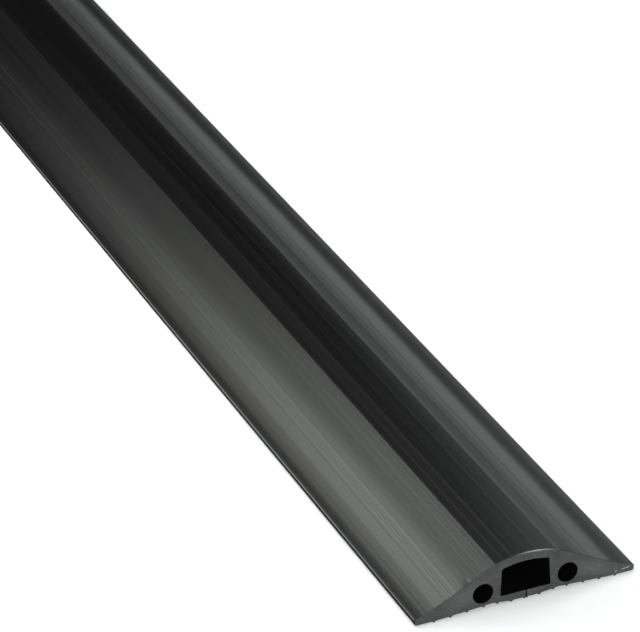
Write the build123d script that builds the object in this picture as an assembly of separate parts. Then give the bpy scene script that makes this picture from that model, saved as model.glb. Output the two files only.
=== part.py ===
"""Floor cable cover: one extruded strip of soft black PVC that lies over cables on a floor.

The strip runs along Y and lies on its grip ribs at Z 0. Its section is the same from end to end:
two ramps that rise from blunt noses to a low dome, a cable channel under the dome, a slit in the
floor of the channel that the cable is pressed in through, a round joining hole each side that
lines one strip up with the next, and grip ribs under the sole.
All sizes are in millimetres.
"""

from build123d import *
import os

# Overall
cover_length = 1800.0
cover_width = 68.0
cover_height = 15.3

# Dome over the channel
dome_width = 18.6
dome_rise = 1.4

# Ramps: each leaves the dome's crease straight for the nose, rounds down a little below that
# straight line, and runs out hollow to the nose
ramp_round_width = 10.2
ramp_hollow = 0.36

# Nose at the foot of each ramp
nose_height = 2.25
nose_top_radius = 0.35
nose_bottom_radius = 0.7

# Grip ribs under the sole, each with a sloped outer flank and a steeper inner flank
rib_height = 0.4
rib_tip_width = 0.45
rib_outer_flank = 0.45
rib_inner_flank = 0.3
wing_rib_count = 4
wing_rib_spacing = 5.05
wing_rib_inset = 6.0
flap_rib_count = 2
flap_rib_spacing = 4.3
slit_rib_tip_width = 1.1

# Sole: a flat pad behind each nose, a shallow arch up to the channel, and two drooping flaps
pad_width = 7.0
arch_rise = 0.95
arch_top_width = 20.4
flap_droop = 0.65
flap_flat_width = 9.2

# Cable channel, and the slit between the flaps, cut a little to one side of the middle
channel_floor_width = 15.5
channel_roof_width = 14.5
channel_corner_height = 8.6
roof_thickness = 2.65
flap_thickness = 2.3
channel_top_radius = 0.45
channel_bottom_radius = 0.35
slit_width = 0.3
slit_offset = 0.25

# Joining holes, one each side of the channel
joining_hole_diameter = 6.2
joining_hole_spacing = 26.2
joining_hole_height = 5.3

half_width = cover_width / 2
crease_reach = dome_width / 2
crease_height = cover_height - dome_rise
ramp_fall = (crease_height - nose_height) / (half_width - crease_reach)
pad_end = half_width - pad_width
arch_end = arch_top_width / 2
flap_end = flap_flat_width / 2
arch_height = rib_height + arch_rise
flap_height = arch_height - flap_droop
channel_floor = flap_height + flap_thickness


def sole_height(x):
    """Height of the bare sole above the floor at a distance x from the middle."""
    if x >= pad_end:
        return rib_height
    if x >= arch_end:
        return rib_height + arch_rise * (pad_end - x) / (pad_end - arch_end)
    if x >= flap_end:
        return flap_height + flap_droop * (x - flap_end) / (arch_end - flap_end)
    return flap_height


def strip_body():
    """Outer outline without the ribs: dome, ramps, noses and sole, drawn as a half and mirrored."""
    top = (0, cover_height)
    crease = (crease_reach, crease_height)
    turn = (crease_reach + ramp_round_width, crease_height - ramp_fall * ramp_round_width - ramp_hollow)
    nose_top = (half_width, nose_height)
    nose_bottom = (half_width, rib_height)
    sole = [nose_bottom, (pad_end, rib_height), (arch_end, arch_height), (flap_end, flap_height)]
    with BuildSketch() as body:
        with BuildLine():
            TangentArc(top, crease, tangent=(1, 0))
            upper_ramp = TangentArc(crease, turn, tangent=(1, -ramp_fall))
            TangentArc(turn, nose_top, tangent=upper_ramp % 1)
            Line(nose_top, nose_bottom)
            Polyline(*sole, (0, flap_height))
            mirror(about=Plane.YZ)
        make_face()
        noses = body.vertices().filter_by(lambda v: abs(v.X) > half_width - 0.01)
        fillet(noses.filter_by(lambda v: v.Y > nose_height - 0.01), nose_top_radius)
        fillet(noses.filter_by(lambda v: v.Y < rib_height + 0.01), nose_bottom_radius)
    return body.sketch


def grip_rib(x, tip_width):
    """One rib with its tip at a distance x from the middle, rooted in the sole above it."""
    tip = sole_height(x) - rib_height
    root = tip + 2 * rib_height
    half_tip = tip_width / 2
    outer = (x + half_tip + 2 * rib_outer_flank, root)
    inner = (x - half_tip - 2 * rib_inner_flank, root)
    return make_face(Polyline(inner, (x - half_tip, tip), (x + half_tip, tip), outer, close=True))


def grip_ribs():
    """Ribs under the wings and flaps, a mirrored set on the other side, and a broad one at the slit."""
    first = half_width - wing_rib_inset
    wing = [first - i * wing_rib_spacing for i in range(wing_rib_count)]
    flap = [flap_rib_spacing * (i + 1) for i in range(flap_rib_count)]
    ribs = [grip_rib(x, rib_tip_width) for x in wing + flap]
    return ribs + [mirror(rib, about=Plane.YZ) for rib in ribs] + [grip_rib(0, slit_rib_tip_width)]


def cable_channel():
    """Channel with a flat floor, walls that lean in a little and an arched roof."""
    shoulder = channel_floor + channel_corner_height
    crown = (0, cover_height - roof_thickness)
    left = (-channel_roof_width / 2, shoulder)
    right = (channel_roof_width / 2, shoulder)
    floor_left = (-channel_floor_width / 2, channel_floor)
    floor_right = (channel_floor_width / 2, channel_floor)
    with BuildSketch() as channel:
        with BuildLine():
            ThreePointArc(left, crown, right)
            Polyline(right, floor_right, floor_left, left)
        make_face()
        corners = channel.vertices()
        fillet(corners.filter_by(lambda v: v.Y > shoulder - 0.01), channel_top_radius)
        fillet(corners.filter_by(lambda v: v.Y < channel_floor + 0.01), channel_bottom_radius)
    return channel.sketch


def strip_section():
    """Whole section: body and ribs, less the channel, the slit and the two joining holes."""
    section = strip_body() + grip_ribs()
    section -= cable_channel()
    section -= Pos(slit_offset, channel_floor / 2) * Rectangle(slit_width, 1.5 * channel_floor)
    hole = Circle(joining_hole_diameter / 2)
    for x in (-joining_hole_spacing / 2, joining_hole_spacing / 2):
        section -= Pos(x, joining_hole_height) * hole
    return section


def cover_strip():
    """The strip: its section stood upright and extruded both ways from the middle."""
    return extrude(Plane.XZ * strip_section(), amount=cover_length / 2, both=True)


os.makedirs("parts", exist_ok=True)
export_step(cover_strip(), "parts/cover_strip.step")
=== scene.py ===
"""Floor cable cover, dressed and lit: one black extruded strip on a pale floor.

Everything is in metres in the part's own frame: X across the width, Y along the strip, Z up from
the floor. The strip's width, length and place are read from the frame, and its section is worked
out from the sizes in StripSection. Sizes that are named in mm are turned into metres by MM.
"""

import logging
import math
from dataclasses import dataclass, field
from enum import Enum, IntEnum

import bpy
import numpy as np
from mathutils import Matrix, Vector
from mathutils.geometry import tessellate_polygon


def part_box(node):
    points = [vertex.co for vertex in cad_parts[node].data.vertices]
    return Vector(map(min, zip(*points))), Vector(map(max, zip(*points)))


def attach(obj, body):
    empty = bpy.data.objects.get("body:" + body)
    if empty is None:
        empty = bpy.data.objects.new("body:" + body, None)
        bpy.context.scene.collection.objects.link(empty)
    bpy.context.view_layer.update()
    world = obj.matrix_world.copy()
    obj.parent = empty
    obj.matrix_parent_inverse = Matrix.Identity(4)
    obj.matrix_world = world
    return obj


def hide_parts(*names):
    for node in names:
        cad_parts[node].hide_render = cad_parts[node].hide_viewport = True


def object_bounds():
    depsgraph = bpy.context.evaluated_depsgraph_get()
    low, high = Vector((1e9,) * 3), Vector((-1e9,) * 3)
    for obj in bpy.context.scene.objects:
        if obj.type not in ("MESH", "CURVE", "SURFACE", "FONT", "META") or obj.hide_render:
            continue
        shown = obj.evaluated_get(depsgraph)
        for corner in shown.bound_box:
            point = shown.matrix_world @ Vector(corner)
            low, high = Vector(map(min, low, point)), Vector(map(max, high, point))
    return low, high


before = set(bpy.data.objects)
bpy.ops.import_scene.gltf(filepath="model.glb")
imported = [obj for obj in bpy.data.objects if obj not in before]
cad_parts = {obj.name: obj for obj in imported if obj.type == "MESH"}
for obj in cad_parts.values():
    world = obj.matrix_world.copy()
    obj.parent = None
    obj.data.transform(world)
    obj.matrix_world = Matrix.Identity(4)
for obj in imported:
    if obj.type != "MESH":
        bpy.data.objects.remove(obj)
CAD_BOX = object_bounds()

MM = 0.001  # one millimetre, in metres
NEAR_END = CAD_BOX[0][1]  # Y of the strip's near end, in metres
NODE = "cover_strip"
PVC_IOR = 1.53  # index of refraction of soft PVC
CLOSE = 0.01  # how near a point counts as on a line of the section, in mm

Span = tuple[float, float]
Point = tuple[float, float] | np.ndarray
Colour = tuple[float, float, float, float]
Mark = tuple[float, float, float, float, float]

log = logging.getLogger("cable_cover")


# Outlines


def bow(start: Point, end: Point, rise: float, steps: int) -> np.ndarray:
    """Circular arc over a chord, up to, but not on, end.

    The arc's centre lies on the chord's middle normal, and its radius is
    (half chord squared + rise squared) / (2 rise).

    Args:
        start: First point, in mm.
        end: Last point, in mm.
        rise: Height of the arc over the chord, in mm. It is to the left of the way along the chord
            when positive.
        steps: How many points.

    Returns:
        Array of shape (steps, 2).
    """
    a, b = np.asarray(start, float), np.asarray(end, float)
    half = np.linalg.norm(b - a) / 2
    along = (b - a) / (2 * half)
    left = np.array([-along[1], along[0]])
    radius = (half**2 + rise**2) / (2 * abs(rise))
    sweep = math.asin(half / radius)
    t = np.linspace(-sweep, sweep, steps, endpoint=False)[:, None]
    lift = np.sign(rise) * (radius * np.cos(t) - math.sqrt(radius**2 - half**2))
    return (a + b) / 2 + radius * np.sin(t) * along + lift * left


def leave_along(start: np.ndarray, end: np.ndarray, way: np.ndarray, steps: int) -> np.ndarray:
    """Circular arc that leaves start in a given direction and reaches end, up to, but not on, end.

    Its rise over the chord is half the chord times tan(angle between chord and direction / 2).

    Args:
        start: First point, in mm.
        end: Last point, in mm.
        way: Direction in which the arc leaves.
        steps: How many points.

    Returns:
        Array of shape (steps, 2).
    """
    chord = end - start
    turn = math.atan2(chord[0] * way[1] - chord[1] * way[0], chord @ way)
    return bow(start, end, np.linalg.norm(chord) / 2 * math.tan(turn / 2), steps)


def round_corner(before: Point, corner: Point, after: Point, radius: float,
                 steps: int = 8) -> np.ndarray:
    """Round a corner between two straight runs.

    The arc touches both runs: its centre lies on their bisector at radius / sin(half angle).

    Args:
        before: A point on the run into the corner, in mm.
        corner: The sharp corner, in mm.
        after: A point on the run out of the corner, in mm.
        radius: Radius of the rounding, in mm.
        steps: Number of points less one.

    Returns:
        Array of shape (steps + 1, 2), from the run in to the run out.
    """
    p, a, b = (np.asarray(q, float) for q in (corner, before, after))
    u = (a - p) / np.linalg.norm(a - p)
    v = (b - p) / np.linalg.norm(b - p)
    half = math.acos(np.clip(u @ v, -1, 1)) / 2
    middle = (u + v) / np.linalg.norm(u + v)
    centre = p + middle * radius / math.sin(half)
    first = p + u * radius / math.tan(half) - centre
    last = p + v * radius / math.tan(half) - centre
    t = np.linspace(0, 1, steps + 1)[:, None]
    sweep = math.pi - 2 * half
    return centre + (np.sin((1 - t) * sweep) * first + np.sin(t * sweep) * last) / math.sin(sweep)


@dataclass(frozen=True)
class StripSection:
    """Section of the strip, in mm: x from the middle, z up from the floor.

    The sizes are the CAD source's. Steps are how many points each arc has, and trim is how many of
    them the rounding at its end replaces.
    """

    width: float
    height: float = 15.3
    dome_width: float = 18.6
    dome_rise: float = 1.4
    ramp_round_width: float = 10.2
    ramp_hollow: float = 0.36
    nose_height: float = 2.25
    nose_top_radius: float = 0.35
    nose_bottom_radius: float = 0.7
    rib_height: float = 0.4
    rib_tip_width: float = 0.45
    rib_outer_flank: float = 0.45
    rib_inner_flank: float = 0.3
    wing_rib_count: int = 4
    wing_rib_spacing: float = 5.05
    wing_rib_inset: float = 6.0
    flap_rib_count: int = 2
    flap_rib_spacing: float = 4.3
    slit_rib_tip_width: float = 1.1
    pad_width: float = 7.0
    arch_rise: float = 0.95
    arch_top_width: float = 20.4
    flap_droop: float = 0.65
    flap_flat_width: float = 9.2
    channel_floor_width: float = 15.5
    channel_roof_width: float = 14.5
    channel_corner_height: float = 8.6
    roof_thickness: float = 2.65
    flap_thickness: float = 2.3
    channel_top_radius: float = 0.45
    channel_bottom_radius: float = 0.35
    slit_width: float = 0.3
    slit_offset: float = 0.25
    joining_hole_diameter: float = 6.2
    joining_hole_spacing: float = 26.2
    joining_hole_height: float = 5.3
    upper_steps: int = 40
    lower_steps: int = 60
    dome_steps: int = 40
    roof_steps: int = 40
    trim: int = 3

    def flap_height(self) -> float:
        """Height of the flaps' underside beside the slit, in mm."""
        return self.rib_height + self.arch_rise - self.flap_droop

    def channel_floor(self) -> float:
        """Height of the channel's floor, in mm."""
        return self.flap_height() + self.flap_thickness

    def sole_points(self) -> tuple[np.ndarray, np.ndarray]:
        """Corners of the bare sole on the right half.

        Returns:
            Their x from the middle outwards, and their z, in mm.
        """
        half, foot, flap = self.width / 2, self.rib_height, self.flap_height()
        flap_end, arch_end = self.flap_flat_width / 2, self.arch_top_width / 2
        x = np.array([0, flap_end, arch_end, half - self.pad_width, half])
        z = np.array([flap, flap, foot + self.arch_rise, foot, foot])
        return x, z

    def rib_places(self) -> np.ndarray:
        """Distances of the rib tips from the middle, on one side.

        Returns:
            Array of shape (wing_rib_count + flap_rib_count,), inner first, in mm.
        """
        flap = self.flap_rib_spacing * np.arange(1, self.flap_rib_count + 1)
        first = self.width / 2 - self.wing_rib_inset
        wing = first - self.wing_rib_spacing * np.arange(self.wing_rib_count)
        return np.sort(np.concatenate([flap, wing]))

    def sole_half(self) -> np.ndarray:
        """Underside from the middle out to the nose, with its ribs.

        Each rib is four points: the foot of its steeper inner flank, the two edges of its tip and
        the foot of its sloped outer flank. The sole's own corners are put between them by x.

        Returns:
            Array of shape (n, 2), without the middle's own point and the nose's corner.
        """
        sole_x, sole_z = self.sole_points()
        tip = self.rib_places()
        offsets = np.array([
            -self.rib_tip_width / 2 - self.rib_inner_flank,
            -self.rib_tip_width / 2,
            self.rib_tip_width / 2,
            self.rib_tip_width / 2 + self.rib_outer_flank,
        ])
        drops = np.array([0, 1, 1, 0]) * self.rib_height
        rib_x = tip[:, None] + offsets
        under_tip = np.interp(tip, sole_x, sole_z)[:, None]
        base = np.where(drops > 0, under_tip, np.interp(rib_x, sole_x, sole_z))
        ribs = np.stack([rib_x, base - drops], axis=-1).reshape(-1, 2)
        corners = np.stack([sole_x, sole_z], axis=-1)[1:-1]
        covered = (corners[:, :1] > tip + offsets[0]) & (corners[:, :1] < tip + offsets[-1])
        points = np.concatenate([ribs, corners[~covered.any(axis=1)]])
        return points[np.argsort(points[:, 0], kind="stable")]

    def top_half(self) -> np.ndarray:
        """Right half of the outside from the nose's foot up to just short of the dome's top.

        Returns:
            Array of shape (n, 2), from the sole side upwards.
        """
        half = self.width / 2
        crease = np.array([self.dome_width / 2, self.height - self.dome_rise])
        top, foot = np.array([half, self.nose_height]), np.array([half, self.rib_height])
        chord = (top - crease) / (half - crease[0])
        turn = crease + chord * self.ramp_round_width - (0, self.ramp_hollow)
        upper = leave_along(crease, turn, chord, self.upper_steps)
        lower = leave_along(turn, top, turn - upper[-1], self.lower_steps)
        nose_foot = round_corner((0, self.rib_height), foot, top, self.nose_bottom_radius)
        nose_top = round_corner(foot, top, lower[-self.trim], self.nose_top_radius)
        ramp = np.concatenate([upper, lower[: -self.trim]])[:0:-1]
        dome = bow(crease, crease * (-1, 1), -self.dome_rise, 2 * self.dome_steps)
        return np.concatenate([nose_foot, nose_top, ramp, dome[: self.dome_steps]])

    def channel(self) -> np.ndarray:
        """Channel wall from its lower left corner up, over the roof and down to its lower right.

        Returns:
            Array of shape (n, 2).
        """
        floor = self.channel_floor()
        shoulder = floor + self.channel_corner_height
        rise = self.height - self.roof_thickness - shoulder
        foot = (-self.channel_floor_width / 2, floor)
        head = (-self.channel_roof_width / 2, shoulder)
        roof = bow(head, (-head[0], shoulder), rise, self.roof_steps)
        lower = round_corner((0, floor), foot, head, self.channel_bottom_radius)
        upper = round_corner(foot, head, roof[self.trim], self.channel_top_radius)
        left = np.concatenate([lower, upper])
        return np.concatenate([left, roof[self.trim : 1 - self.trim], left[::-1] * (-1, 1)])

    def outline(self) -> np.ndarray:
        """Closed outline with the solid on its left: sole, slit, channel and outside.

        The channel is reached through the slit, so it belongs to the same loop.

        Returns:
            Array of shape (n, 2), in mm, starting at the channel side of the slit's left wall.
        """
        right = np.concatenate([self.sole_half(), self.top_half()])
        left = right[::-1] * (-1, 1)
        slit_left = self.slit_offset - self.slit_width / 2
        slit_right = slit_left + self.slit_width
        half_tip, flap = self.slit_rib_tip_width / 2, self.flap_height()
        tip = flap - self.rib_height
        middle_left = [(-half_tip - self.rib_inner_flank, flap), (-half_tip, tip), (slit_left, tip)]
        middle_right = [(slit_right, tip), (half_tip, tip), (half_tip + self.rib_outer_flank, flap)]
        floor = self.channel_floor()
        return np.concatenate([
            [(slit_left, floor)], self.channel(), [(slit_right, floor)], middle_right,
            right, [(0, self.height)], left, middle_left,
        ])

    def joining_holes(self, steps: int = 64) -> list[np.ndarray]:
        """Both joining holes as circles, walked clockwise so that the solid is on the left.

        Args:
            steps: Points round each hole.

        Returns:
            Two arrays of shape (steps, 2), in mm.
        """
        t = -2 * np.pi * np.arange(steps) / steps
        ring = self.joining_hole_diameter / 2 * np.stack([np.cos(t), np.sin(t)], axis=-1)
        places = (-self.joining_hole_spacing / 2, self.joining_hole_spacing / 2)
        return [ring + (x, self.joining_hole_height) for x in places]


# Meshes


class Finish(IntEnum):
    """Material slots of the strip, in order."""

    SKIN = 0
    CUT = 1
    SOLE = 2


@dataclass(frozen=True)
class EdgeBreak:
    """How the knife's cut leaves the rim of an end face, in mm.

    The outside edge rolls over in a quarter ellipse, depth into the skin and run along the strip,
    drawn in steps. Each entry of roll is a place across the strip with the depth and run there:
    steep along the left ramp, rounder over the dome and almost sharp along the right ramp. Every
    other rim is broken by fine only. The straight skin starts guard from the cut face.

    A nick bruises the left ramp: a flat facet that opens from nick_start, is deepest at nick_end,
    closes nick_side beyond it and comes up to the skin nick_run from the cut face. The nick_rows
    rows that carry it lie within reach of the cut face where there is no nick.
    """

    roll: tuple[tuple[float, float, float], ...] = (
        (-34.0, 0.28, 0.12), (-12.0, 0.20, 0.12), (-5.0, 0.15, 0.20),
        (1.0, 0.24, 0.32), (8.0, 0.22, 0.30), (12.0, 0.08, 0.08), (34.0, 0.08, 0.08),
    )
    fine: float = 0.05
    steps: int = 6
    guard: float = 4.0
    nick_start: float = -20.3
    nick_end: float = -17.2
    nick_side: float = 0.5
    nick_depth: float = 0.13
    nick_run: float = 2.9
    nick_rows: int = 3
    reach: float = 1.0

    def rolled(self, x: np.ndarray) -> tuple[np.ndarray, np.ndarray]:
        """Depth and run of the roll at each x, straight between the entries of roll."""
        place, depth, run = np.array(self.roll).T
        return np.interp(x, place, depth), np.interp(x, place, run)

    def nick(self, x: np.ndarray) -> np.ndarray:
        """Share of the nick at each x: 1 at nick_end, straight down to 0 on both sides of it."""
        places = (self.nick_start, self.nick_end, self.nick_end + self.nick_side)
        return np.interp(x, places, (0, 1, 0))


def inward(loop: np.ndarray) -> np.ndarray:
    """Unit vectors into the solid at each point of a closed loop with the solid on its left.

    Each is the left normal of the run from the point before to the point after.

    Args:
        loop: Array of shape (n, 2).

    Returns:
        Array of shape (n, 2).
    """
    along = np.roll(loop, -1, axis=0) - np.roll(loop, 1, axis=0)
    along /= np.linalg.norm(along, axis=1, keepdims=True)
    return np.stack([-along[:, 1], along[:, 0]], axis=-1)


def carry(loop: np.ndarray, inset: np.ndarray, stations: np.ndarray) -> np.ndarray:
    """Carry a closed loop along Y.

    Point (j, i) is loop point i moved into the solid by inset (j, i), at station (j, i).

    Args:
        loop: Section loop, shape (n, 2), in mm.
        inset: Way into the solid at each station and point, shape (m, n), in mm.
        stations: Place along Y of each station and point, shape (m, n), in mm.

    Returns:
        Array of shape (m, n, 3), in mm.
    """
    moved = loop + inset[..., None] * inward(loop)
    return np.stack([moved[..., 0], stations, moved[..., 1]], axis=-1)


def ring_quads(stations: int, points: int, first: int) -> np.ndarray:
    """Quads between neighbouring stations of a carried loop, closed round the loop.

    Args:
        stations: Number of stations.
        points: Number of loop points.
        first: Index of the loop's first vertex.

    Returns:
        Array of shape ((stations - 1) * points, 4).
    """
    j, i = np.meshgrid(np.arange(stations - 1), np.arange(points), indexing="ij")
    here, there = j * points + i, j * points + (i + 1) % points
    return first + np.stack([here, there, there + points, here + points], axis=-1).reshape(-1, 4)


@dataclass
class CoverStrip:
    """The strip as one closed mesh: skin, channel, joining holes and both cut faces.

    Its length is in mm, and bays is how many quads long the straight skin is. The outline's corners
    that turn by more than corner_turn degrees are sharp.
    """

    section: StripSection
    length: float
    edge: EdgeBreak = field(default_factory=EdgeBreak)
    bays: int = 24
    corner_turn: float = 18.0
    name: str = "cover_strip_skin"

    def on_skin(self, loop: np.ndarray) -> np.ndarray:
        """Which points of the outline lie on the polished outside, above the noses' sides.

        Args:
            loop: Outline points, shape (n, 2), in mm.

        Returns:
            Boolean array of shape (n,).
        """
        x, z = np.abs(loop[:, 0]), loop[:, 1]
        above_side = z > self.section.nose_height - self.section.nose_top_radius - CLOSE
        roof = self.section.height - self.section.roof_thickness + CLOSE
        in_channel = (x < self.section.channel_floor_width / 2 + CLOSE) & (z < roof)
        return above_side & ~in_channel

    def rolled_ends(self, loop: np.ndarray, skin: np.ndarray) -> tuple[np.ndarray, np.ndarray]:
        """Stations and insets of a loop with both its ends rolled over.

        At angle t of the quarter ellipse the skin is run (1 - cos t) from the cut face and
        depth (1 - sin t) inside its full outline. Behind it come the rows that carry the near
        end's nick, whose depth falls straight to 0 at their end. The straight skin's first row
        keeps the roll's shading off it.

        Args:
            loop: Section loop, shape (n, 2), in mm.
            skin: Which points are on the polished outside, shape (n,).

        Returns:
            Places along Y and ways into the solid, both of shape (stations, n), in mm.
        """
        edge, half = self.edge, self.length / 2
        nick = np.where(skin, edge.nick(loop[:, 0]), 0)
        deep, far = (np.where(skin, value, edge.fine) for value in edge.rolled(loop[:, 0]))
        t = np.linspace(0, math.pi / 2, edge.steps + 1)[:, None]
        reach = np.maximum(edge.nick_run * nick, edge.reach)
        rows = np.arange(1, edge.nick_rows + 1)[:, None]
        behind = far + (reach - far) * rows / edge.nick_rows
        back = np.concatenate([far * (1 - np.cos(t)), behind])
        inset = np.concatenate([deep * (1 - np.sin(t)), 0 * behind])
        bays = np.linspace(-half + edge.guard, half - edge.guard, self.bays + 1)[:, None]
        middle = np.broadcast_to(bays, (len(bays), len(loop)))
        places = np.concatenate([back - half, middle, half - back[::-1]])
        bruised = inset + edge.nick_depth * nick * (1 - back / reach)
        return places, np.concatenate([bruised, 0 * middle, inset[::-1]])

    def build(self) -> bpy.types.Object:
        """Build the mesh with its girth UV map and a material index for each finish.

        The skin is the outline and both holes carried along Y, its quads turned to face away from
        the solid. Each cut face is the flat region between the three end loops, its triangles
        turned to face outwards. UV map girth has the way round the section as U and the place along
        the strip as V, both in metres.

        Returns:
            The new object.
        """
        loops = [self.section.outline(), *self.section.joining_holes()]
        skins = [self.on_skin(loops[0])] + [np.zeros(len(q), bool) for q in loops[1:]]
        grids = [carry(q, *self.rolled_ends(q, w)[::-1]) for q, w in zip(loops, skins)]
        rows = len(grids[0])
        firsts = np.cumsum([0] + [g.shape[0] * g.shape[1] for g in grids])
        quads = np.concatenate([ring_quads(rows, len(q), f) for q, f in zip(loops, firsts)])
        quads = quads[:, ::-1]
        dull = [np.tile(~(w & np.roll(w, -1)), rows - 1) for w in skins]

        filled = np.array(tessellate_polygon([g[0][:, [0, 2]].tolist() for g in grids]))
        near_index = np.concatenate([f + np.arange(len(q)) for q, f in zip(loops, firsts)])
        far_index = np.concatenate([
            f + (rows - 1) * len(q) + np.arange(len(q)) for q, f in zip(loops, firsts)
        ])
        flat = np.concatenate([g[0] for g in grids])[:, [0, 2]]
        a, b, c = (flat[filled[:, k]] for k in range(3))
        turn = (b[:, 0] - a[:, 0]) * (c[:, 1] - a[:, 1]) - (b[:, 1] - a[:, 1]) * (c[:, 0] - a[:, 0])
        filled = np.where(turn[:, None] > 0, filled, filled[:, ::-1])
        near, far = near_index[filled], far_index[filled[:, ::-1]]

        points = np.concatenate([g.reshape(-1, 3) for g in grids]) * MM
        mesh = bpy.data.meshes.new(self.name)
        mesh.from_pydata(points.tolist(), [], quads.tolist() + near.tolist() + far.tolist())
        finish = np.full(len(mesh.polygons), Finish.CUT)
        finish[: len(quads)] = np.where(np.concatenate(dull), Finish.SOLE, Finish.SKIN)
        mesh.polygons.foreach_set("material_index", finish)
        mesh.polygons.foreach_set("use_smooth", finish != Finish.CUT)
        self.lay_girth(mesh, loops, rows, len(quads))
        self.mark_creases(mesh, loops, rows)
        mesh.update()
        return add_object(mesh)

    def lay_girth(self, mesh: bpy.types.Mesh, loops: list[np.ndarray], stations: int,
                  quads: int) -> None:
        """Write UV map girth: the way round the loop and the place along Y, in metres.

        Args:
            mesh: The strip's mesh, whose first faces are the skin's quads, loop by loop.
            loops: The section's loops, in mm.
            stations: Number of stations.
            quads: Number of skin quads.
        """
        corner = np.empty(len(mesh.loops), int)
        mesh.loops.foreach_get("vertex_index", corner)
        place = np.empty(3 * len(mesh.vertices))
        mesh.vertices.foreach_get("co", place)
        place = place.reshape(-1, 3)[corner]
        uv = place[:, [0, 2]].copy()
        sides = []
        for q in loops:
            step = np.linalg.norm(np.roll(q, -1, axis=0) - q, axis=1)
            way = np.concatenate([[0], np.cumsum(step)]) * MM
            side = np.stack([way[:-1], way[1:], way[1:], way[:-1]], axis=-1)[:, ::-1]
            sides.append(np.tile(side, (stations - 1, 1)))
        uv[: 4 * quads, 0] = np.concatenate(sides).reshape(-1)
        uv[: 4 * quads, 1] = place[: 4 * quads, 1]
        layer = mesh.uv_layers.new(name="girth")
        layer.uv.foreach_set("vector", uv.reshape(-1))

    def mark_creases(self, mesh: bpy.types.Mesh, loops: list[np.ndarray], stations: int) -> None:
        """Mark as sharp the long edges at the outline's corners and the rims of both cut faces.

        The dome's creases turn by less than a corner does and are found by their place.

        Args:
            mesh: The strip's mesh.
            loops: The section's loops, in mm.
            stations: Number of stations.
        """
        corner, row, rim = [], [], []
        for number, q in enumerate(loops):
            before, after = q - np.roll(q, 1, axis=0), np.roll(q, -1, axis=0) - q
            cross = before[:, 0] * after[:, 1] - before[:, 1] * after[:, 0]
            turn = np.abs(np.arctan2(cross, (before * after).sum(axis=1)))
            crease = np.abs(np.abs(q[:, 0]) - self.section.dome_width / 2) < CLOSE
            sharp = (turn > math.radians(self.corner_turn)) | crease
            corner.append(np.tile(sharp & (number == 0), stations))
            row.append(np.repeat(np.arange(stations), len(q)))
            rim.append(np.isin(row[-1], (0, stations - 1)))
        corner, row, rim = (np.concatenate(v) for v in (corner, row, rim))
        ends = np.empty(2 * len(mesh.edges), int)
        mesh.edges.foreach_get("vertices", ends)
        a, b = ends.reshape(-1, 2).T
        around = row[a] == row[b]
        sharp = (corner[a] & corner[b] & ~around) | (rim[a] & rim[b] & around)
        mesh.attributes.new("sharp_edge", "BOOLEAN", "EDGE").data.foreach_set("value", sharp)


def add_object(mesh: bpy.types.Mesh) -> bpy.types.Object:
    """Put a mesh into the scene as an object at the origin.

    Args:
        mesh: The mesh, whose name the object takes.

    Returns:
        The new object.
    """
    thing = bpy.data.objects.new(mesh.name, mesh)
    bpy.context.scene.collection.objects.link(thing)
    return thing


# Finishes


def linear(code: str) -> Colour:
    """An sRGB hex colour as linear RGBA.

    Args:
        code: Six hex digits.

    Returns:
        Red, green and blue in linear light, and alpha 1.
    """
    values = [int(code[k : k + 2], 16) / 255 for k in (0, 2, 4)]
    light = [v / 12.92 if v <= 0.04045 else ((v + 0.055) / 1.055) ** 2.4 for v in values]
    return (*light, 1.0)


def node(tree: bpy.types.NodeTree, kind: str, settings: dict[str, object] | None = None,
         **links: object) -> bpy.types.Node:
    """Add a node, set its properties and fill its inputs.

    Args:
        tree: Node tree that takes the node.
        kind: Node type.
        settings: Properties of the node.
        **links: Input name, with _ for a space, and a socket or a value. A name of two underscores
            and a number picks an input by its index.

    Returns:
        The new node.
    """
    made = tree.nodes.new(kind)
    for key, value in (settings or {}).items():
        setattr(made, key, value)
    for key, value in links.items():
        socket = made.inputs[int(key[2:]) if key.startswith("__") else key.replace("_", " ")]
        if isinstance(value, bpy.types.NodeSocket):
            tree.links.new(value, socket)
        else:
            socket.default_value = value
    return made


def product(tree: bpy.types.NodeTree, first: bpy.types.NodeSocket,
            second: bpy.types.NodeSocket) -> bpy.types.NodeSocket:
    """Multiply two values.

    Args:
        tree: Node tree that takes the node.
        first: One value.
        second: The other value.

    Returns:
        Their product.
    """
    return node(tree, "ShaderNodeMath", {"operation": "MULTIPLY"}, __0=first, __1=second).outputs[0]


def ranged(tree: bpy.types.NodeTree, value: bpy.types.NodeSocket, span: Span,
           to: tuple[object, object] = (0.0, 1.0), kind: str = "LINEAR") -> bpy.types.NodeSocket:
    """Carry a value from one span to another and hold it within that one.

    Args:
        tree: Node tree that takes the node.
        value: The value.
        span: Where it comes from, first end and last.
        to: Where it goes, first end and last, each a number or a socket.
        kind: LINEAR for a straight way between the ends, SMOOTHSTEP for a smooth one.

    Returns:
        The new value.
    """
    return node(tree, "ShaderNodeMapRange", {"interpolation_type": kind}, Value=value,
                From_Min=span[0], From_Max=span[1], To_Min=to[0], To_Max=to[1]).outputs[0]


def mixed(tree: bpy.types.NodeTree, share: bpy.types.NodeSocket,
          first: bpy.types.NodeSocket | Colour, second: Colour) -> bpy.types.NodeSocket:
    """Mix two colours.

    Args:
        tree: Node tree that takes the node.
        share: Share of the second colour.
        first: Colour where the share is 0.
        second: Colour where the share is 1.

    Returns:
        The mixed colour.
    """
    return node(tree, "ShaderNodeMix", {"data_type": "RGBA"}, __0=share, __6=first,
                __7=second).outputs[2]


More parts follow.
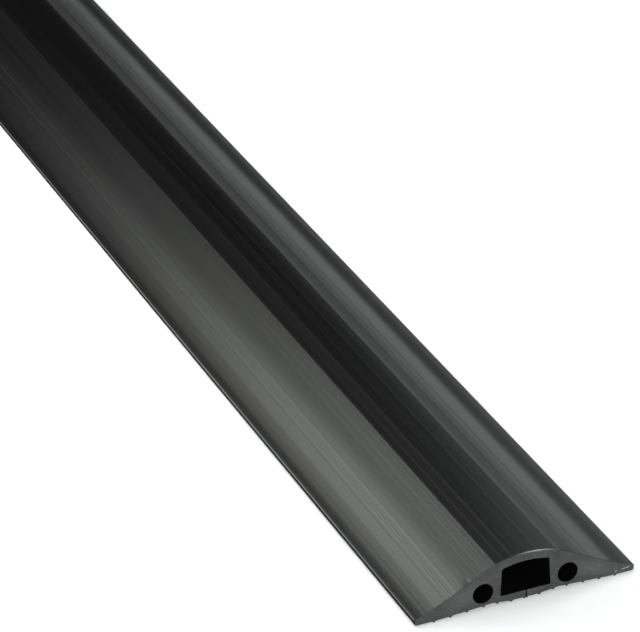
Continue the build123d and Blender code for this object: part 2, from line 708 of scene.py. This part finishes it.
def new_material(name: str) -> tuple[bpy.types.Material, bpy.types.NodeTree]:
    """An empty node material.

    Args:
        name: Its name.

    Returns:
        The material and its node tree.
    """
    made = bpy.data.materials.new(name)
    made.use_nodes = True
    made.node_tree.nodes.clear()
    return made, made.node_tree


@dataclass(frozen=True)
class ExtrudedVinyl:
    """Soft black PVC drawn through a polished die.

    The skin is nearly black all through, so the eye sees only its satin gloss. The die leaves long
    swells in it, which bend the light into broad bands, and single scored lines with finer drag
    lines between them. The drag lines are deepest by the near end, within end_run of it. Grey
    streaks and a thin bloom, greenish or brown, show where the gloss is weak. A pale line along the
    dome's rim at the near end is partly a burr and partly a painted highlight, and a little dust
    lies on it. Real drag lines lie closer together than the photograph's view can show and real
    dust is finer, so both are drawn as coarse as they need to be to show.

    Spacings are across the strip and runs along it, and all sizes are in mm. Each swell is a place
    across the strip, a half width and a height, and each bloom a place, a half width and a colour.
    The burr with its painted highlight has its place across the strip with a half width, and its
    width along it. A span is the pair of noise values between which a pattern goes from nothing to
    full.
    """

    name: str = "soft_pvc_extruded"
    black: str = "020202"
    grey: str = "262827"
    dust: str = "A8ABA6"
    swells: tuple[tuple[float, float, float], ...] = (
        (-35.2, 4.0, 0.22), (-28.1, 0.9, -0.012), (-24.9, 0.7, 0.012), (-20.2, 10.5, 0.45),
        (-21.0, 0.6, 0.010), (-15.6, 1.6, 0.015), (-10.2, 6.0, 0.15), (-6.6, 2.4, -0.12),
        (15.4, 1.6, 0.02), (17.2, 7.5, 0.12), (19.3, 1.2, -0.03), (20.8, 11.0, 0.32),
        (21.5, 5.0, 0.09), (31.5, 5.5, 0.38),
    )
    blooms: tuple[tuple[float, float, str], ...] = ((-5.7, 0.6, "1A1712"), (1.5, 5.0, "141A15"))
    fine_spacing: float = 0.5
    fine_run: float = 600.0
    fine_depth: float = 0.003
    end_depth: float = 0.028
    end_run: float = 150.0
    line_spacing: float = 2.0
    line_run: float = 900.0
    line_depth: float = 0.022
    streak_spacing: float = 1.2
    streak_run: float = 1500.0
    streak_fine_share: float = 0.45
    streak_span: Span = (0.51, 0.74)
    streak_far: float = 0.6
    noise_roughness: float = 0.65
    # Pale line on the dome's rim at the near end: partly a burr, partly a painted highlight.
    burr_and_highlight: str = "8A8F8D"
    burr_highlight_place: tuple[float, float] = (3.6, 8.0)
    burr_highlight_width: float = 0.5
    rough_span: Span = (0.3, 0.7)
    rough: tuple[float, float] = (0.36, 0.41)
    dust_spacing: float = 9.0
    dust_size: float = 0.32
    dust_cut: float = 0.75

    def build(self) -> bpy.types.Material:
        """Build the skin from noise stretched along the strip on the girth map.

        The bump's height is the sum of the drag lines, scored lines and swells, each times its
        depth. The colour is the black, mixed in turn with the streaks, the blooms, the burr with
        its painted highlight and the dust. The streaks weaken to streak_far of their strength away
        from the near end.

        Returns:
            The material.
        """
        made, tree = new_material(self.name)
        girth = node(tree, "ShaderNodeUVMap", {"uv_map": "girth"})
        spot = node(tree, "ShaderNodeSeparateXYZ", None,
                    Vector=node(tree, "ShaderNodeTexCoord").outputs["Object"])
        across, along = spot.outputs["X"], spot.outputs["Y"]
        fine = self.stretched(tree, girth, self.fine_spacing, self.fine_run, detail=2.0, shift=0.0)
        line = self.stretched(tree, girth, self.line_spacing, self.line_run, detail=1.0, shift=3.7)
        coarse = self.stretched(tree, girth, self.streak_spacing, self.streak_run, detail=3.0,
                                shift=4.3)
        near = self.ridge(tree, along, NEAR_END / MM, self.end_run)
        handled = product(tree, fine, near)
        relief = [(fine, self.fine_depth), (handled, self.end_depth), (line, self.line_depth)]
        relief += [(self.ridge(tree, across, place, half), height)
                   for place, half, height in self.swells]
        bump = node(tree, "ShaderNodeBump", None, Strength=1.0, Distance=1.0,
                    Height=self.scaled_sum(tree, relief))
        drawn = node(tree, "ShaderNodeMix", {"data_type": "FLOAT"}, __0=self.streak_fine_share,
                     __2=coarse, __3=fine)
        strength = ranged(tree, near, (0.0, 1.0), (self.streak_far, 1.0))
        streak = ranged(tree, drawn.outputs[0], self.streak_span, (0.0, strength))
        colour = mixed(tree, streak, linear(self.black), linear(self.grey))
        for place, half, bloom in self.blooms:
            share = product(tree, self.ridge(tree, across, place, half), streak)
            colour = mixed(tree, share, colour, linear(bloom))
        # Painted highlight along the dome's rim at the near end, which is partly a real burr.
        burr_and_highlight = product(tree, self.ridge(tree, across, *self.burr_highlight_place),
                       self.ridge(tree, along, NEAR_END / MM, self.burr_highlight_width))
        colour = mixed(tree, burr_and_highlight, colour, linear(self.burr_and_highlight))
        colour = mixed(tree, self.specks(tree), colour, linear(self.dust))
        shader = node(tree, "ShaderNodeBsdfPrincipled", None, Base_Color=colour,
                      Roughness=ranged(tree, fine, self.rough_span, self.rough), IOR=PVC_IOR,
                      Normal=bump.outputs[0])
        node(tree, "ShaderNodeOutputMaterial", None, Surface=shader.outputs[0])
        return made

    def ridge(self, tree: bpy.types.NodeTree, way: bpy.types.NodeSocket, place: float,
              half: float) -> bpy.types.NodeSocket:
        """A smooth ridge: 1 at its place and down to 0 at half away from it.

        Args:
            tree: Node tree that takes the nodes.
            way: Place across or along the strip, in metres.
            place: The ridge's middle, in mm.
            half: Its half width, in mm.

        Returns:
            The ridge's value, from 0 to 1.
        """
        offset = node(tree, "ShaderNodeMath", {"operation": "SUBTRACT"}, __0=way, __1=place * MM)
        away = node(tree, "ShaderNodeMath", {"operation": "ABSOLUTE"}, __0=offset.outputs[0])
        return ranged(tree, away.outputs[0], (half * MM, 0.0), kind="SMOOTHSTEP")

    def stretched(self, tree: bpy.types.NodeTree, girth: bpy.types.Node, spacing: float, run: float,
                  detail: float, shift: float) -> bpy.types.NodeSocket:
        """Noise whose cells are spacing wide round the section and run long along the strip.

        Args:
            tree: Node tree that takes the nodes.
            girth: The UV map node.
            spacing: Width of a cell, in mm.
            run: Length of a cell, in mm.
            detail: Noise detail.
            shift: Shift of the pattern in cells, so that no two patterns share their cells.

        Returns:
            The noise value, from 0 to 1.
        """
        placed = node(tree, "ShaderNodeMapping", None, Vector=girth.outputs[0],
                      Location=(shift, shift, 0), Scale=(1 / (spacing * MM), 1 / (run * MM), 1))
        noise = node(tree, "ShaderNodeTexNoise", {"noise_dimensions": "2D"},
                     Vector=placed.outputs[0], Scale=1.0, Detail=detail,
                     Roughness=self.noise_roughness)
        return noise.outputs[0]

    def scaled_sum(self, tree: bpy.types.NodeTree,
                   terms: list[tuple[bpy.types.NodeSocket, float]]) -> bpy.types.NodeSocket:
        """Add up patterns, each times its depth.

        Args:
            tree: Node tree that takes the nodes.
            terms: Pairs of a pattern and its depth in mm.

        Returns:
            The height, in metres.
        """
        total = 0.0
        for pattern, depth in terms:
            total = node(tree, "ShaderNodeMath", {"operation": "MULTIPLY_ADD"}, __0=pattern,
                         __1=depth * MM, __2=total).outputs[0]
        return total

    def specks(self, tree: bpy.types.NodeTree) -> bpy.types.NodeSocket:
        """Dust: a speck wherever the skin cuts a small ball, soft at its rim.

        A ball lies about the point of each cell whose random brightness is over dust_cut, which is
        about 15 cells in 100.

        Args:
            tree: Node tree that takes the nodes.

        Returns:
            1 on a speck and 0 elsewhere.
        """
        place = node(tree, "ShaderNodeTexCoord")
        cells = node(tree, "ShaderNodeTexVoronoi", {"voronoi_dimensions": "3D"},
                     Vector=place.outputs["Object"], Scale=1 / (self.dust_spacing * MM))
        radius = self.dust_size / 2 / self.dust_spacing
        ball = ranged(tree, cells.outputs["Distance"], (radius, radius / 2))
        chosen = node(tree, "ShaderNodeMath", {"operation": "GREATER_THAN"},
                      __0=cells.outputs["Color"], __1=self.dust_cut)
        return product(tree, ball, chosen.outputs[0])


@dataclass(frozen=True)
class KnifeCutVinyl:
    """The same PVC where a knife has cut it: paler, mottled, grainy and quite dull.

    It mirrors hardly anything, so the eye reads the section as one flat grey face. The near end is
    paler in a broad patch over each ramp, and a whitish scuff lies by its right nose. Real grain is
    finer than the photograph's view can show, so it is drawn as coarse as it needs to be to
    show.

    Each mark is an ellipse: its middle as x and z, its two half widths and its turn. Sizes and
    places are in mm and turns in radians. A core is the share of a mark's radius that is full, and
    a span the pair of noise values between which a pattern goes from nothing to full.
    """

    name: str = "soft_pvc_knife_cut"
    dark: str = "181A1A"
    light: str = "313433"
    light_span: Span = (0.34, 0.66)
    mottle: float = 4.0
    grain: float = 0.45
    grain_share: float = 0.4
    grain_depth: float = 0.03
    speck: str = "5A5E5D"
    speck_span: Span = (0.58, 0.76)
    speck_spacing: float = 0.35
    noise_detail: float = 3.0
    roughness: float = 0.6
    scuff: str = "9EA09E"
    scuff_core: float = 0.6
    scuff_span: Span = (0.36, 0.5)
    scuff_marks: tuple[Mark, ...] = ((31.2, 1.75, 1.7, 0.2, 0.09), (28.4, 1.45, 0.5, 0.2, 0.5))
    pale: str = "3A3D3C"
    pale_core: float = 0.2
    pale_marks: tuple[Mark, ...] = ((-18.5, 5.5, 8.5, 4.0, 0.45), (21.0, 4.5, 11.0, 3.5, -0.35))

    def build(self) -> bpy.types.Material:
        """Build the cut face from noise: mottle, grain and specks, with the marks between them.

        Returns:
            The material.
        """
        made, tree = new_material(self.name)
        place = node(tree, "ShaderNodeTexCoord").outputs["Object"]
        mottle, grain, speck = (
            node(tree, "ShaderNodeTexNoise", None, Vector=place, Scale=1 / (size * MM),
                 Detail=self.noise_detail).outputs[0]
            for size in (self.mottle, self.grain, self.speck_spacing)
        )
        both = node(tree, "ShaderNodeMix", {"data_type": "FLOAT"}, __0=self.grain_share,
                    __2=mottle, __3=grain)
        layers = [(ranged(tree, both.outputs[0], self.light_span), self.light)]
        layers += [(self.mark(tree, place, *mark, self.pale_core, None), self.pale)
                   for mark in self.pale_marks]
        layers += [(ranged(tree, speck, self.speck_span), self.speck)]
        layers += [(self.mark(tree, place, *mark, self.scuff_core, grain), self.scuff)
                   for mark in self.scuff_marks]
        colour = linear(self.dark)
        for part, second in layers:
            colour = mixed(tree, part, colour, linear(second))
        bump = node(tree, "ShaderNodeBump", None, Strength=1.0, Distance=self.grain_depth * MM,
                    Height=grain)
        face = node(tree, "ShaderNodeBsdfPrincipled", None, Base_Color=colour,
                    Roughness=self.roughness, IOR=PVC_IOR, Normal=bump.outputs[0])
        node(tree, "ShaderNodeOutputMaterial", None, Surface=face.outputs[0])
        return made

    def mark(self, tree: bpy.types.NodeTree, place: bpy.types.NodeSocket, x: float, z: float,
             half_long: float, half_short: float, turn: float, core: float,
             pattern: bpy.types.NodeSocket | None) -> bpy.types.NodeSocket:
        """An elliptical mark on the near face, full in its core and soft at its rim.

        Args:
            tree: Node tree that takes the nodes.
            place: Object coordinates.
            x: Its middle across the strip, in mm.
            z: Its middle above the floor, in mm.
            half_long: Half its length, in mm.
            half_short: Half its breadth, in mm.
            turn: Its turn about Y, in radians.
            core: Share of its radius that is full.
            pattern: Noise that breaks it up where the noise is low, or None to keep it whole.

        Returns:
            1 inside the mark and 0 elsewhere.
        """
        moved = node(tree, "ShaderNodeVectorMath", {"operation": "SUBTRACT"}, __0=place,
                     __1=(x * MM, NEAR_END, z * MM))
        turned = node(tree, "ShaderNodeVectorRotate", {"rotation_type": "Y_AXIS"},
                      Vector=moved.outputs[0], Angle=turn)
        sized = node(tree, "ShaderNodeVectorMath", {"operation": "DIVIDE"}, __0=turned.outputs[0],
                     __1=(half_long * MM, MM, half_short * MM))
        reach = node(tree, "ShaderNodeVectorMath", {"operation": "LENGTH"}, __0=sized.outputs[0])
        inside = ranged(tree, reach.outputs["Value"], (1.0, core))
        if pattern is None:
            return inside
        return product(tree, inside, ranged(tree, pattern, self.scuff_span))


@dataclass(frozen=True)
class SoleVinyl:
    """The same PVC where the die isn't polished: noses' sides, sole, channel and joining holes.

    It is deep black with hardly any gloss, so the eye reads the hollows as black. The grain's size
    is in mm, and coarser than the real one so that it shows up close.
    """

    name: str = "soft_pvc_unpolished"
    black: str = "020202"
    grey: str = "080808"
    grain: float = 0.8
    noise_detail: float = 2.0
    roughness: float = 0.7
    gloss: float = 0.08

    def build(self) -> bpy.types.Material:
        """Build the dull black with a fine grain in its colour only.

        Returns:
            The material.
        """
        made, tree = new_material(self.name)
        place = node(tree, "ShaderNodeTexCoord")
        grain = node(tree, "ShaderNodeTexNoise", None, Vector=place.outputs["Object"],
                     Scale=1 / (self.grain * MM), Detail=self.noise_detail)
        colour = mixed(tree, grain.outputs[0], linear(self.black), linear(self.grey))
        sole = node(tree, "ShaderNodeBsdfPrincipled", None, Base_Color=colour,
                    Roughness=self.roughness, IOR=PVC_IOR, Specular_IOR_Level=self.gloss)
        node(tree, "ShaderNodeOutputMaterial", None, Surface=sole.outputs[0])
        return made


@dataclass(frozen=True)
class PaperWhite:
    """White seamless paper under the strip.

    The soft boxes light it near the strip's end, and its own glow makes up for them farther out, so
    that the eye sees a pale sheet all round. The glow rises over lit_reach, a pair of distances
    from lit_middle, which is a place from the near end's middle. Both are in metres.
    """

    name: str = "seamless_paper"
    colour: str = "F4F4F4"
    roughness: float = 0.9
    glow_colour: str = "EFF5F2"
    glow_near: float = 0.19
    glow_far: float = 0.62
    lit_middle: tuple[float, float] = (0.0, 0.25)
    lit_reach: Span = (0.3, 0.72)

    def build(self) -> bpy.types.Material:
        """Build a dull white sheet that glows more the farther it is from the lit area.

        Returns:
            The material.
        """
        made, tree = new_material(self.name)
        away = node(tree, "ShaderNodeVectorMath", {"operation": "DISTANCE"},
                    __0=node(tree, "ShaderNodeTexCoord").outputs["Object"],
                    __1=(self.lit_middle[0], NEAR_END + self.lit_middle[1], 0.0))
        glow = ranged(tree, away.outputs["Value"], self.lit_reach, (self.glow_near, self.glow_far),
                      kind="SMOOTHSTEP")
        sheet = node(tree, "ShaderNodeBsdfPrincipled", None, Base_Color=linear(self.colour),
                     Roughness=self.roughness, Specular_IOR_Level=0.0,
                     Emission_Color=linear(self.glow_colour), Emission_Strength=glow)
        node(tree, "ShaderNodeOutputMaterial", None, Surface=sheet.outputs[0])
        return made


# Studio


class Lamp(Enum):
    """Soft boxes: place and aim from the near end's middle, width and height, power and colour.

    Places and sizes are in metres and powers in watts. LEFT lights the left ramp, TOP the dome, and
    BACK and FRONT the right ramp and the near cut face.
    """

    LEFT = ((-0.256, 0.438, 0.218), (-0.015, 0.1, 0.008), (0.232, 0.431), 1.94, "FBFFF9")
    TOP = ((0.106, 0.165, 0.421), (0.0, 0.1, 0.008), (0.147, 0.866), 1.44, "F3FAF7")
    BACK = ((1.626, 0.895, 0.105), (0.0, 0.2, 0.008), (1.415, 0.170), 0.33, "EDF8F4")
    FRONT = ((-0.6, -2.1, 0.9), (0.0, 0.0, 0.0), (0.9, 0.9), 45.5, "F7F8F7")

    def build(self, near_end: float) -> None:
        """Make the lamp and aim it.

        Args:
            near_end: Y of the strip's near end, in m.
        """
        place, target, size, power, colour = self.value
        name = f"soft_box_{self.name.lower()}"
        data = bpy.data.lights.new(name, "AREA")
        data.shape, data.size, data.size_y, data.energy = "RECTANGLE", *size, power
        data.color = linear(colour)[:3]
        thing = bpy.data.objects.new(name, data)
        thing.visible_camera = False
        turn = (Vector(target) - Vector(place)).to_track_quat("-Z", "Y").to_matrix().to_4x4()
        thing.matrix_world = Matrix.Translation(Vector(place) + Vector((0, near_end, 0))) @ turn
        bpy.context.scene.collection.objects.link(thing)


@dataclass(frozen=True)
class Studio:
    """Pale floor, pale soft light and the photograph's view.

    Lengths are in metres and angles in radians. The room is at its dimmest up to dim_cosine, the
    cosine of the angle to dim_way, and at its brightest from bright_cosine on. The camera's place
    is from the near end's middle.
    """

    floor_size: float = 30.0
    room: str = "F2F4F6"
    room_dim: float = 0.004
    room_bright: float = 0.5
    dim_way: tuple[float, float, float] = (0.243, 0.908, 0.342)
    dim_cosine: float = 0.7
    bright_cosine: float = -0.2
    image_width: int = 640
    focal_pixels: float = 3480.95
    pitch: float = 0.499
    yaw: float = 0.398
    roll: float = 0.021
    camera_place: tuple[float, float, float] = (-0.36607, -0.72751, 0.53385)
    clip: Span = (0.05, 100.0)

    def lay_floor(self) -> None:
        """Lay the floor sheet: one flat square at Z 0 from a grid of two parameters."""
        half = self.floor_size / 2
        u, v = np.meshgrid((-half, half), (-half, half))
        points = np.stack([u, v, np.zeros_like(u)], axis=-1).reshape(-1, 3)
        mesh = bpy.data.meshes.new("floor_sheet")
        mesh.from_pydata(points.tolist(), [], [(0, 1, 3, 2)])
        mesh.materials.append(PaperWhite().build())
        add_object(mesh)

    def light(self, near_end: float) -> None:
        """Light the room from a pale world and the soft boxes.

        The world is dim towards dim_way, where the skin mirrors it in the photograph's view, and
        rises to its full strength behind. Its strength follows the cosine of the angle to dim_way.

        Args:
            near_end: Y of the strip's near end, in m.
        """
        world = bpy.data.worlds.new("pale_room")
        world.use_nodes = True
        tree = world.node_tree
        turned = node(tree, "ShaderNodeVectorMath", {"operation": "DOT_PRODUCT"},
                      __0=node(tree, "ShaderNodeTexCoord").outputs["Generated"], __1=self.dim_way)
        strength = ranged(tree, turned.outputs["Value"], (self.dim_cosine, self.bright_cosine),
                          (self.room_dim, self.room_bright), kind="SMOOTHSTEP")
        back = tree.nodes["Background"]
        back.inputs["Color"].default_value = linear(self.room)
        tree.links.new(strength, back.inputs["Strength"])
        bpy.context.scene.world = world
        for lamp in Lamp:
            lamp.build(near_end)

    def place_camera(self, near_end: float) -> None:
        """Set the camera to the photograph's viewing angle.

        The view looks along (sin yaw cos pitch, cos yaw cos pitch, -sin pitch), rolled about that
        line, and the lens is the focal length in pixels over the image width.

        Args:
            near_end: Y of the strip's near end, in m.
        """
        cos, sin, yaw, pitch, roll = math.cos, math.sin, self.yaw, self.pitch, self.roll
        forward = Vector((sin(yaw) * cos(pitch), cos(yaw) * cos(pitch), -sin(pitch)))
        level = Vector((cos(yaw), -sin(yaw), 0))
        down = forward.cross(level)
        right = cos(roll) * level + sin(roll) * down
        up = sin(roll) * level - cos(roll) * down
        data = bpy.data.cameras.new("camera")
        data.lens = data.sensor_width * self.focal_pixels / self.image_width
        data.clip_start, data.clip_end = self.clip
        camera = bpy.data.objects.new("camera", data)
        turn = Matrix((right, up, -forward)).transposed().to_4x4()
        place = Vector(self.camera_place) + Vector((0, near_end, 0))
        camera.matrix_world = Matrix.Translation(place) @ turn
        bpy.context.scene.collection.objects.link(camera)
        bpy.context.scene.camera = camera


def main() -> None:
    """Build the strip, dress it, set up the studio and report each piece."""
    logging.basicConfig(level=logging.INFO, format="%(name)s: %(message)s")
    bpy.context.scene.view_settings.view_transform = "Standard"
    low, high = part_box(NODE)
    width, length = (high[k] - low[k] for k in (0, 1))
    strip = CoverStrip(StripSection(width=width / MM), length=length / MM)
    piece = strip.build()
    for finish in (ExtrudedVinyl(), KnifeCutVinyl(), SoleVinyl()):
        piece.data.materials.append(finish.build())
    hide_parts(NODE)
    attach(piece, "root")
    log.info("%s: %d faces", piece.name, len(piece.data.polygons))
    studio = Studio()
    studio.lay_floor()
    studio.light(low[1])
    studio.place_camera(low[1])


if __name__ == "__main__":
    main()
